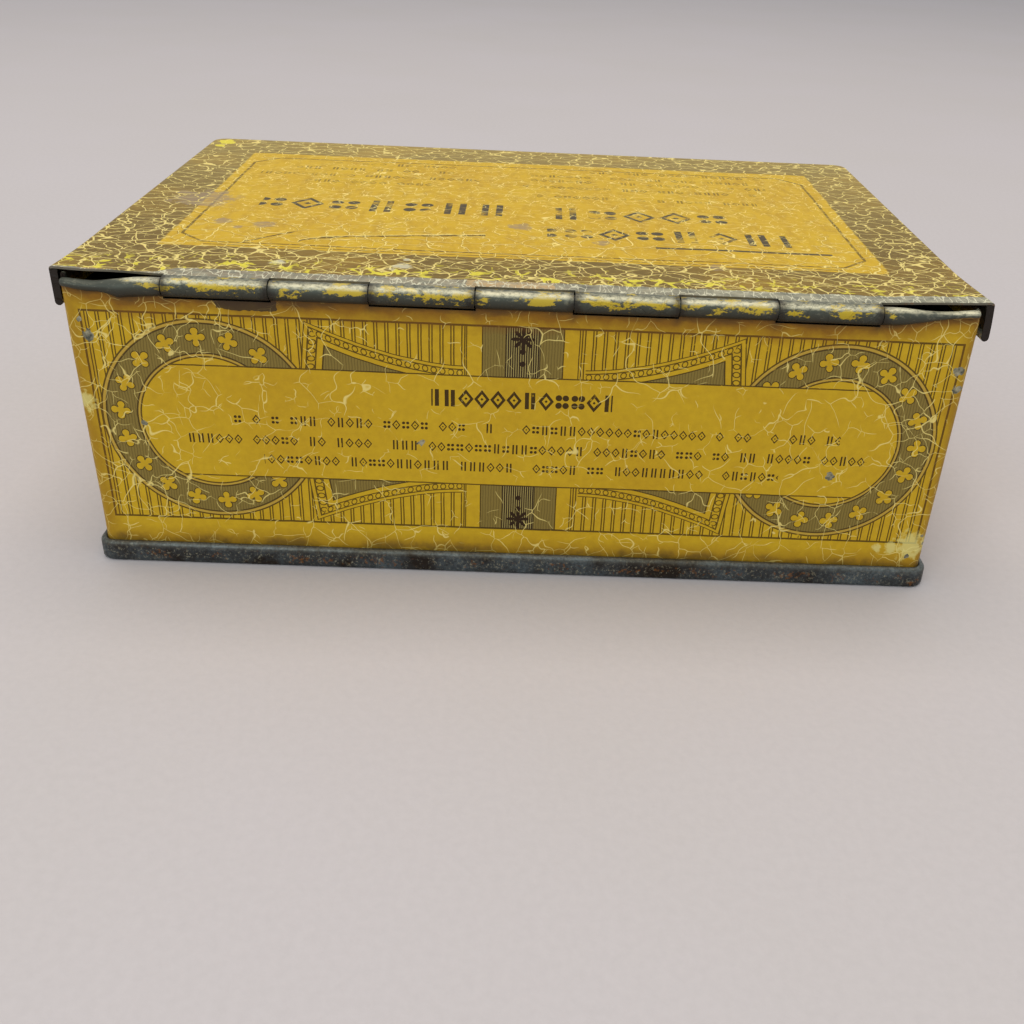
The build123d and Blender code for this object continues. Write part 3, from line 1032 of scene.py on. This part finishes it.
def aged_tin():
    """Dark oxidised tinplate of the foot seam and the bottom, with specks and rust, and a painted
    highlight along the top of the seam.
    """
    ink = inks()
    tin = Finish("aged_tin", ink.pewter)
    z = split(tin.place)[2]
    grain = noise(tin.place, 0.9, 4.0, 0.65)
    speck = noise(tin.place, 0.4, 3.0, 0.7)
    face = z.fade(0.3, 1.2) * ~z.fade(1.9, 2.7)
    patch = noise(tin.place, 5.0, 3.0, 0.6).fade(0.45, 0.6) * face
    rust = flakes(scale(tin.place, 1.7), patch * 0.3 + 0.12, 0.1)
    tin.coat(noise(tin.place, 7.0, 4.0, 0.65).fade(0.35, 0.65), ink.grime_and_shade)
    # painted highlight: lighter along the top of the seam
    tin.coat(z.fade(2.3, 3.1) * 0.15, ink.bare)
    tin.coat(~speck.fade(0.36, 0.5) * 0.45, ink.grime_and_shade)
    tin.coat(speck.fade(0.56, 0.68) * (face * 0.5 + 0.2), ink.bare)
    tin.coat(rust * 0.65, ink.rust)
    return tin.finish(grain * 0.3 + 0.3, ~rust * 0.6, grain * 0.8, bump=0.05)


def steel_wire():
    """Dull drawn wire with dirt where it shows between the knuckles."""
    wire = Finish("steel_wire", inks().slate)
    drawn = noise(stretch(wire.place, 0.1), 0.5, 3.0, 0.6)
    dirt = flakes(scale(wire.place, 0.7), 0.55, 0.15)
    wire.coat(dirt * 0.8, inks().grime_and_shade)
    return wire.finish(drawn * 0.25 + 0.35, ~dirt * 0.6, drawn)


def floor_paper():
    """Pale paper with a faint grain."""
    ink = inks()
    paper = Finish("floor_paper", ink.floor)
    fibre = noise(paper.place, 1.2, 3.0, 0.6)
    paper.coat(noise(paper.place, 90.0, 3.0, 0.55).fade(0.3, 0.8) * 0.12, ink.bare)
    paper.coat(fibre.fade(0.35, 0.75) * 0.05, ink.slate)
    return paper.finish(fibre * 0.1 + 0.8, 0.0, fibre, bump=0.03)


# ---- walls ----------------------------------------------------------------------------

def draw_round_box(plan, y_low, step, corner_steps):
    """Pulls the selected section of the right end round the right, front and left sides."""
    sides = stations([y_low, plan.straight_front], step)
    draw_through(ACROSS, sides)
    draw_round(UP, (plan.straight_x, plan.straight_front, 0), 90, corner_steps)
    draw_through(ALONG, stations([plan.straight_x, -plan.straight_x], step))
    draw_round(UP, (-plan.straight_x, plan.straight_front, 0), 90, corner_steps)
    draw_through(ACROSS, sides[::-1])


def draw_wall_section(plan):
    """The right end wall from its foot up, with its hem, as far back as it is straight."""
    s = sizes()
    fold = s.sheet + s.layer_gap / 2
    walls = start_piece("tin_walls", (plan.wall_x, plan.straight_back, plan.wall_foot))
    draw_through(UP, stations([plan.wall_foot, plan.bend_start], GRID))
    draw_through(UP, [plan.bend_start, hinge.z, plan.wall_top - fold])
    draw_round(ACROSS, (plan.wall_x - fold, 0, plan.wall_top - fold), -180, 8)
    draw_through(UP, [plan.wall_top - fold, plan.wall_top - s.hem])
    return walls


def draw_back_wall(plan, walls):
    """Closes the wall strip along the back, up to where its rolls begin."""
    corner = (plan.straight_x, plan.straight_back, 0)
    pick(walls, x=plan.wall_x, y=plan.straight_back, z=(0, hinge.z))
    draw_round(UP, corner, -90, 8)
    pick(walls, x=-plan.wall_x, y=plan.straight_back, z=(0, hinge.z))
    draw_round(UP, (-corner[0], corner[1], 0), 90, 8)
    pick(walls, x=-plan.straight_x, y=plan.back, z=(0, plan.bend_start))
    draw_through(ALONG, stations([x for span in plan.body_spans for x in span], FINE))
    merge_all()


def roll_back_wall(plan, walls):
    """Bends the back wall out and round the wire, wherever the lid has no knuckle."""
    joggle = sizes().joggle
    for span in plan.body_spans:
        pick(walls, x=span, y=plan.back, z=plan.bend_start)
        draw_round(ALONG, (0, plan.back - joggle, plan.bend_start), plan.bend_angle, 5)
        draw_round(ALONG, hinge, -BODY_TURN - plan.bend_angle, 26)


# the squeezed end rolls: how far along, then the top and the foot, in radii from the axis
LEFT_ROLL = ((0.0, 0.87, -1.0), (0.27, 0.80, -1.1), (0.47, 0.56, -1.33), (0.63, 0.36, -0.85),
             (0.72, 0.25, -0.76), (0.89, 0.33, -0.70), (1.0, 0.45, -0.45))
RIGHT_ROLL = ((0.0, 0.85, -1.0), (0.22, 0.83, -0.95), (0.41, 0.68, -0.64), (0.50, 0.60, -0.49),
              (0.64, 0.58, -0.22), (0.78, 0.65, -0.02), (1.0, 0.86, 0.03))

# steps that draw an end roll out: part of its reach, move inward in mm, and taper
EAR_STEPS = ((0.48, 0.08, 0.97), (0.31, 0.18, 0.9), (0.15, 0.2, 0.7), (0.06, 0.1, 0.4))


def between(keys, along):
    """The values at a place between the keys, each of which is a place and its values."""
    for low, high in zip(keys, keys[1:]):
        if along <= high[0]:
            break
    part = ramp(along, low[0], high[0])
    return [a + (b - a) * part for a, b in zip(low[1:], high[1:])]


def flatten_end_rolls(plan, walls):
    """Squeezes the end rolls towards the corners of the box and draws them out over these."""
    s = sizes()
    for side, keys, ear in ((-1, LEFT_ROLL, s.left_ear), (1, RIGHT_ROLL, s.right_ear)):
        for x in stations([plan.end_roll, plan.straight_x], FINE):
            top, foot = between(keys, ramp(x, plan.end_roll, plan.straight_x))
            squeeze = (top - foot) / 2
            middle = hinge.z + (top + foot) / 2 * plan.body_r
            pick(walls, x=side * x, y=(-1, hinge.y + plan.body_r),
                 z=(hinge.z - plan.body_r - 0.2 * MM, 1))
            bpy.ops.transform.resize(value=(1, 0.4 + 0.6 * min(squeeze, 1), squeeze),
                                     center_override=(side * x, plan.back, hinge.z))
            bpy.ops.transform.translate(value=(0, 0, middle - hinge.z))
        pick(walls, x=side * plan.straight_x, y=(-1, hinge.y + plan.body_r),
             z=(middle - plan.body_r * squeeze * 1.2, 1))
        for reach, inward, keep in EAR_STEPS:
            draw((side * reach * ear, inward * MM, 0))
            bpy.ops.transform.resize(value=(1, keep, keep),
                                     center_override=(0, plan.back + 0.2 * MM, middle))


class OBJECT_OT_tin_walls(bpy.types.Operator):
    """Model the wall strip with its hem and rolled top edge"""

    bl_idname = "object.tin_walls"
    bl_label = "Walls"

    def execute(self, context):
        plan = Plan()
        walls = draw_wall_section(plan)
        pick(walls)
        draw_round_box(plan, plan.straight_back, GRID, 8)
        draw_back_wall(plan, walls)
        roll_back_wall(plan, walls)
        flatten_end_rolls(plan, walls)
        close_mesh(walls, (0, plan.back, 20 * MM), (0, -1, 0))

        def open_face(place):
            return ramp(place.z, 4 * MM, 12 * MM) * ramp(plan.bend_start - place.z, 1 * MM, 8 * MM)

        dent(walls, "Wall waves", depth=0.35 * MM, grain=28 * MM, weight=open_face)
        paint(walls, wall_print(), bare_inside())
        thicken(walls, even=False)
        fit(walls, "body", "body_shell")
        return {"FINISHED"}


class OBJECT_OT_tin_side_lap(bpy.types.Operator):
    """Model the soldered lap that closes the wall strip inside"""

    bl_idname = "object.tin_side_lap"
    bl_label = "Side lap"

    def execute(self, context):
        s = sizes()
        plan = Plan()
        inside = plan.wall_x - s.sheet
        low, high = pan_high[2] + s.panel_rise, plan.wall_top - s.hem - s.layer_gap
        ends = [s.lap_middle - s.lap_width / 2, s.lap_middle + s.lap_width / 2]
        lap = start_piece("side_lap", (inside, ends[0], low))
        for step in range(2):
            draw((-s.sheet / 2, s.sheet, 0))
        draw_through(ACROSS, stations([ends[0] + 2 * s.sheet, ends[1] - 2 * s.sheet], FINE))
        for step in range(2):
            draw((s.sheet / 2, s.sheet, 0))
        pick(lap)
        draw_through(UP, stations([low, high], GRID))
        pick(lap)
        bpy.ops.mesh.region_to_loop()
        bpy.ops.mesh.edge_face_add()
        close_mesh(lap, (inside - s.sheet, s.lap_middle, 20 * MM), (-1, 0, 0))
        shade()
        paint(lap, bare_inside(), bare_inside())
        fit(lap, "body", "body_shell")
        return {"FINISHED"}


# ---- bottom ---------------------------------------------------------------------------

def start_grid(name, x_places, y_places, z):
    """A new object with a flat grid, open in edit mode."""
    piece = start_piece(name, (x_places[0], y_places[0], z))
    draw_through(ALONG, x_places)
    pick(piece)
    draw_through(ACROSS, y_places)
    return piece


def draw_bottom_section(plan, bottom):
    """The step of the panel and the seam round the foot, at the rear of the right side."""
    s = sizes()
    out, top = pan_high[0], pan_high[2]
    step_x = plan.wall_x - 2 * s.sheet - s.layer_gap
    step_r = 0.3 * MM
    foot_r = 0.5 * MM
    hook_r = s.sheet + s.layer_gap
    top_r = out - plan.wall_x - s.layer_gap - hook_r
    start_point((plan.straight_x, plan.straight_back, s.panel_rise))
    draw_through(ALONG, [plan.straight_x, step_x - step_r])
    draw_round(ACROSS, (step_x - step_r, 0, s.panel_rise - step_r), 90, 4)
    draw_through(UP, [s.panel_rise - step_r, 0])
    draw_through(ALONG, [step_x, out - foot_r])
    draw_round(ACROSS, (out - foot_r, 0, foot_r), -90, 5)
    draw_through(UP, stations([foot_r, top - top_r], 0.5 * MM))
    draw_round(ACROSS, (out - top_r, 0, top - top_r), -90, 8)
    draw_round(ACROSS, (out - top_r, 0, top - hook_r), -90, 5)
    draw_through(UP, [top - hook_r, top - hook_r - s.hook])
    pick(bottom, y=plan.straight_back, edge_only=True)


class OBJECT_OT_tin_bottom(bpy.types.Operator):
    """Model the bottom with its pressed panel and the seam round the foot"""

    bl_idname = "object.tin_bottom"
    bl_label = "Bottom"

    def execute(self, context):
        plan = Plan()
        rise = sizes().panel_rise
        corner = (plan.straight_x, plan.straight_back, 0)
        x_places = stations([corner[0], -corner[0]], GRID)
        y_places = stations([corner[1], plan.straight_front], GRID)
        bottom = start_grid("tin_bottom", x_places, y_places, rise)
        draw_bottom_section(plan, bottom)
        draw_round_box(plan, corner[1], GRID, 10)
        draw_round(UP, (-corner[0], corner[1], 0), 90, 10)
        draw_through(ALONG, x_places[::-1])
        draw_round(UP, corner, 90, 10)
        close_mesh(bottom, (0, 0, rise), (0, 0, -1))

        def rim_face(place):
            beyond = max(abs(place.x) - plan.wall_x, plan.back - place.y, place.y - plan.front)
            return ramp(beyond, 0.2 * MM, 0.9 * MM) * ramp(place.z, 0.2 * MM, 1.2 * MM)

        dent(bottom, "Rim waves", depth=0.16 * MM, grain=5 * MM, weight=rim_face)
        paint(bottom, aged_tin(), bare_inside())
        thicken(bottom)
        fit(bottom, "body", "bottom_pan")
        return {"FINISHED"}


# ---- lid ------------------------------------------------------------------------------

def draw_lid_section(plan, lid):
    """The edge of the plate, the skirt and its inward bead, at the rear of the right side."""
    s = sizes()
    out, top = lid_high[0], lid_high[2]
    bead_r = (s.overhang - s.bead_play) / 2
    bead_z = top - s.skirt_drop + bead_r
    start_point((plan.straight_x, plan.lid_rear, top))
    draw_through(ALONG, stations([plan.straight_x, out - s.skirt_round], FINE))
    draw_round(ACROSS, (out - s.skirt_round, 0, top - s.skirt_round), 90, 5)
    draw_through(UP, stations([top - s.skirt_round, bead_z], FINE))
    draw_round(ACROSS, (out - bead_r, 0, bead_z), BEAD_TURN, 15)
    pick(lid, y=plan.lid_rear, edge_only=True)


def close_skirt_ends(plan, lid):
    """Folds the rear ends of the skirts in and closes the ends of their bead."""
    s = sizes()
    width = s.overhang - s.bead_play
    foot = lid_high[2] - s.skirt_drop
    out = lid_high[0]
    for side in (-1, 1):
        pick(lid, x=side * out, y=plan.lid_rear,
             z=(foot + width / 2, lid_high[2] - s.skirt_round))
        draw((-side * width, 0, 0))
    merge_all()
    for x in ((-out, width - out), (out - width, out)):
        pick(lid, x=x, y=plan.lid_rear, z=(foot, foot + width / 2))
        bpy.ops.mesh.edge_face_add()


def roll_lid_knuckles(plan, lid):
    """Draws tongues out of the plate's rear edge and rolls them round the wire."""
    for span in plan.lid_spans:
        pick(lid, x=span, y=plan.lid_rear, z=lid_high[2])
        draw_through(ACROSS, [plan.lid_rear, hinge.y])
        draw_round(ALONG, hinge, LID_TURN, 28)


def lift_rear_corners(plan, lid):
    """Bends the lid's two rear corners up a little, and the end of its right skirt out, and
    sets its rear edge back from the left end roll, which sags into its way."""
    s = sizes()
    edge = lid_high[0] - s.skirt_round
    reach = edge - plan.lid_spans[-1][1]
    foot = lid_high[2] - s.skirt_drop
    for x, lift, falloff in (((-1, -edge), s.left_lift, "SHARP"),
                             ((edge, 1), s.right_lift, "LINEAR")):
        pick(lid, x=x, y=plan.lid_rear, z=(lid_high[2] - s.skirt_round, 1))
        pull((0, 0, lift), falloff, reach)
    pick(lid, x=(edge - s.overhang, 1), y=plan.lid_rear, z=(foot, foot + s.overhang))
    pull((s.flare, 0, -s.flare / 3), "SMOOTH", reach * 0.6)
    middle = (plan.end_roll + plan.straight_x) / 2
    half, fade = 2.5 * MM, 4 * MM
    pick(lid, x=(-middle - half, half - middle), y=plan.lid_rear,
         z=(lid_high[2] - s.skirt_round, 1))
    pull((0, s.relief, 0), "SMOOTH", fade)


class OBJECT_OT_tin_lid(bpy.types.Operator):
    """Model the lid with its skirts, bead and knuckles"""

    bl_idname = "object.tin_lid"
    bl_label = "Lid"

    def execute(self, context):
        plan = Plan()
        top = lid_high[2]
        edge = plan.straight_x
        marks = [-edge] + [x for span in plan.lid_spans for x in span] + [edge]
        lid = start_grid("tin_lid", stations(marks, GRID),
                         stations([plan.lid_rear, plan.straight_front], GRID), top)
        draw_lid_section(plan, lid)
        draw_round_box(plan, plan.lid_rear, GRID, 10)
        roll_lid_knuckles(plan, lid)
        close_skirt_ends(plan, lid)
        lift_rear_corners(plan, lid)
        close_mesh(lid, (0, 0, top), UP)

        def plate(place):
            inset = min(lid_high[0] - abs(place.x), place.y - plan.lid_rear, plan.front - place.y)
            return ramp(inset, 0, 8 * MM)

        dent(lid, "Lid waves", depth=0.4 * MM, grain=30 * MM, weight=plate)
        paint(lid, lid_print(), bare_inside())
        thicken(lid)
        fit(lid, "lid", "lid")
        return {"FINISHED"}


class OBJECT_OT_tin_wire(bpy.types.Operator):
    """Give the hinge wire its finish"""

    bl_idname = "object.tin_wire"
    bl_label = "Hinge wire"

    def execute(self, context):
        wire = frame["nodes"]["hinge_wire"]
        wire.data.materials.clear()
        wire.data.materials.append(steel_wire())
        return {"FINISHED"}


# ---- stage ----------------------------------------------------------------------------

def add_area_light(name, place, aim, width, depth, power, tint):
    """A soft rectangular lamp that faces a place."""
    bpy.ops.object.light_add(type="AREA", location=place)
    lamp = bpy.context.object
    lamp.name = name
    lamp.rotation_euler = (Vector(aim) - Vector(place)).to_track_quat("-Z", "Y").to_euler()
    lamp.data.shape = "RECTANGLE"
    lamp.data.size = width
    lamp.data.size_y = depth
    lamp.data.energy = power
    lamp.data.color = tint


class OBJECT_OT_tin_stage(bpy.types.Operator):
    """Set the floor, the soft light and the camera"""

    bl_idname = "object.tin_stage"
    bl_label = "Stage"

    def execute(self, context):
        scene = context.scene
        view = scene.tin_box_view
        bpy.ops.object.select_all(action="DESELECT")
        bpy.ops.mesh.primitive_plane_add(size=6, location=(0, 0, 0))
        floor = context.object
        floor.name = "floor"
        floor.data.materials.append(floor_paper())

        add_area_light("ceiling_light", place=(0, 0.15, 1.1), aim=(0, 0, 0), width=0.9,
                       depth=0.7, power=6.8, tint=(1, 0.955, 0.89))
        add_area_light("window_light", place=(-0.4, -0.9, 0.7), aim=(0, 0, 0.02), width=0.8,
                       depth=0.8, power=5.0, tint=(0.77, 0.91, 1))
        world = bpy.data.worlds.new("Room")
        world.use_nodes = True
        sky = world.node_tree.nodes["Background"]
        sky.inputs["Color"].default_value = view.room
        sky.inputs["Strength"].default_value = view.room_strength
        scene.world = world

        turn = [math.radians(angle) for angle in view.turn]
        bpy.ops.object.camera_add(location=view.place, rotation=turn)
        camera = context.object
        camera.data.sensor_width = 36
        camera.data.lens = view.lens
        camera.data.shift_x = view.shift[0]
        camera.data.shift_y = view.shift[1]
        camera.data.clip_start = 0.005
        camera.data.dof.use_dof = False
        scene.camera = camera
        scene.view_settings.view_transform = "Standard"
        return {"FINISHED"}


# ---- panel and registration -----------------------------------------------------------

STEPS = ("walls", "side_lap", "bottom", "lid", "wire", "stage")


class VIEW3D_PT_tin_box(bpy.types.Panel):
    """Lists the steps that build the box"""

    bl_label = "Tin Box"
    bl_space_type = "VIEW_3D"
    bl_region_type = "UI"
    bl_category = "Tin Box"

    def draw(self, context):
        for step in STEPS:
            self.layout.operator("object.tin_" + step)
        for group in (context.scene.tin_box_sizes, context.scene.tin_box_view,
                      context.scene.tin_box_inks):
            box = self.layout.box()
            for name in group.bl_rna.properties.keys():
                if name not in ("rna_type", "name"):
                    box.prop(group, name)


CLASSES = (
    TinBoxSizes,
    TinBoxInks,
    TinBoxView,
    OBJECT_OT_tin_walls,
    OBJECT_OT_tin_side_lap,
    OBJECT_OT_tin_bottom,
    OBJECT_OT_tin_lid,
    OBJECT_OT_tin_wire,
    OBJECT_OT_tin_stage,
    VIEW3D_PT_tin_box,
)


def register():
    for item in CLASSES:
        bpy.utils.register_class(item)
    bpy.types.Scene.tin_box_sizes = bpy.props.PointerProperty(type=TinBoxSizes)
    bpy.types.Scene.tin_box_inks = bpy.props.PointerProperty(type=TinBoxInks)
    bpy.types.Scene.tin_box_view = bpy.props.PointerProperty(type=TinBoxView)


def unregister():
    del bpy.types.Scene.tin_box_view
    del bpy.types.Scene.tin_box_inks
    del bpy.types.Scene.tin_box_sizes
    for item in reversed(CLASSES):
        bpy.utils.unregister_class(item)


def main():
    register()
    for step in STEPS:
        getattr(bpy.ops.object, "tin_" + step)()


if __name__ == "__main__":
    main()
